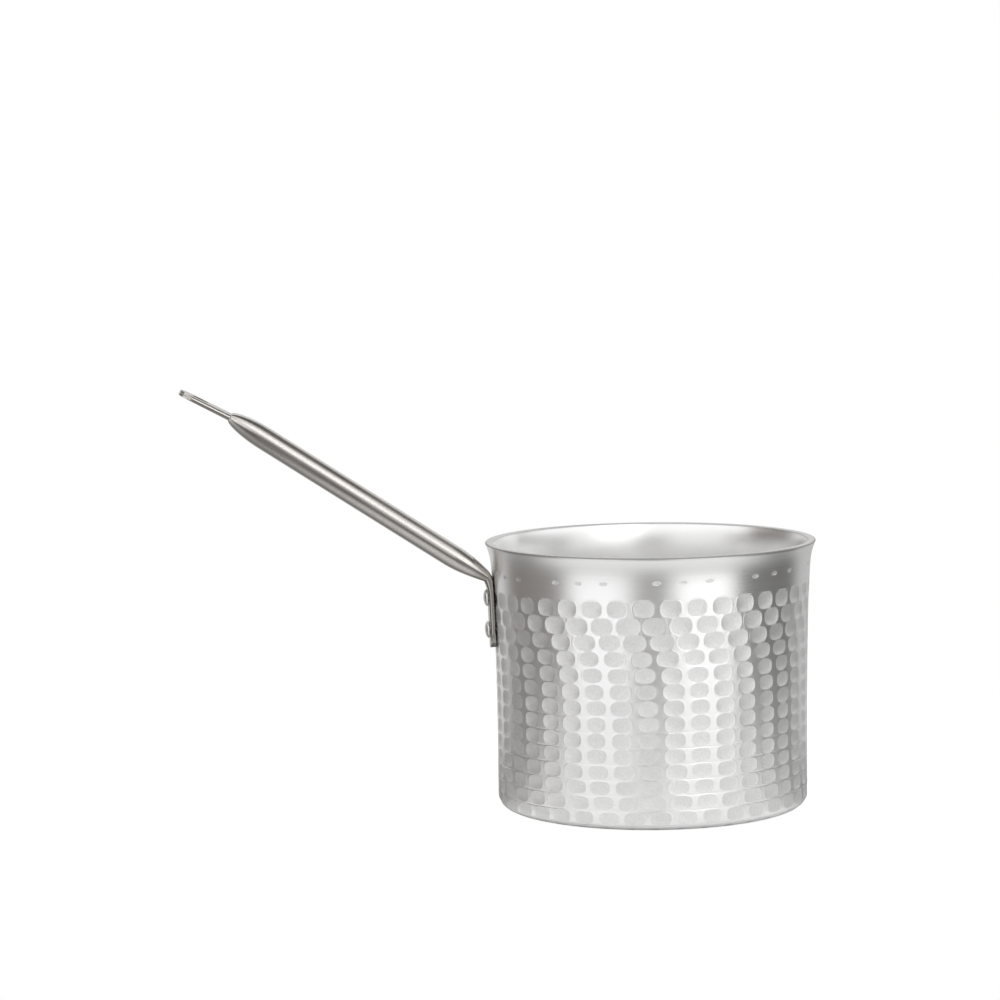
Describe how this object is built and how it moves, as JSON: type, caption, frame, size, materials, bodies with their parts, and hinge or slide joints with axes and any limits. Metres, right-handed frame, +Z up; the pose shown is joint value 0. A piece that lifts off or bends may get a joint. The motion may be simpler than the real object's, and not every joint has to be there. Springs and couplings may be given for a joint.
{
  "type": "bain-marie pot",
  "caption": "Deep straight-sided aluminium pot with a hammered wall and flared mouth, and a long tubular steel handle riveted to its side, for heating food gently in a water bath.",
  "frame": {"origin": "centre of the pot's base, on the surface that it stands on", "axes": "+Z up along the pot's axis, -X along the handle, the handle's middle plane is XZ"},
  "size_m": [0.3358, 0.1756, 0.2263],
  "materials": {
    "hammered_aluminium": "bright spun aluminium, hammered outside",
    "handle_steel": "polished along the tube",
    "rivet_aluminium": "plain set rivet"
  },
  "bodies": {
    "root": {"pot_body": "hammered_aluminium", "handle": "handle_steel", "rivet_upper": "rivet_aluminium", "rivet_lower": "rivet_aluminium"}
  },
  "joints": []
}
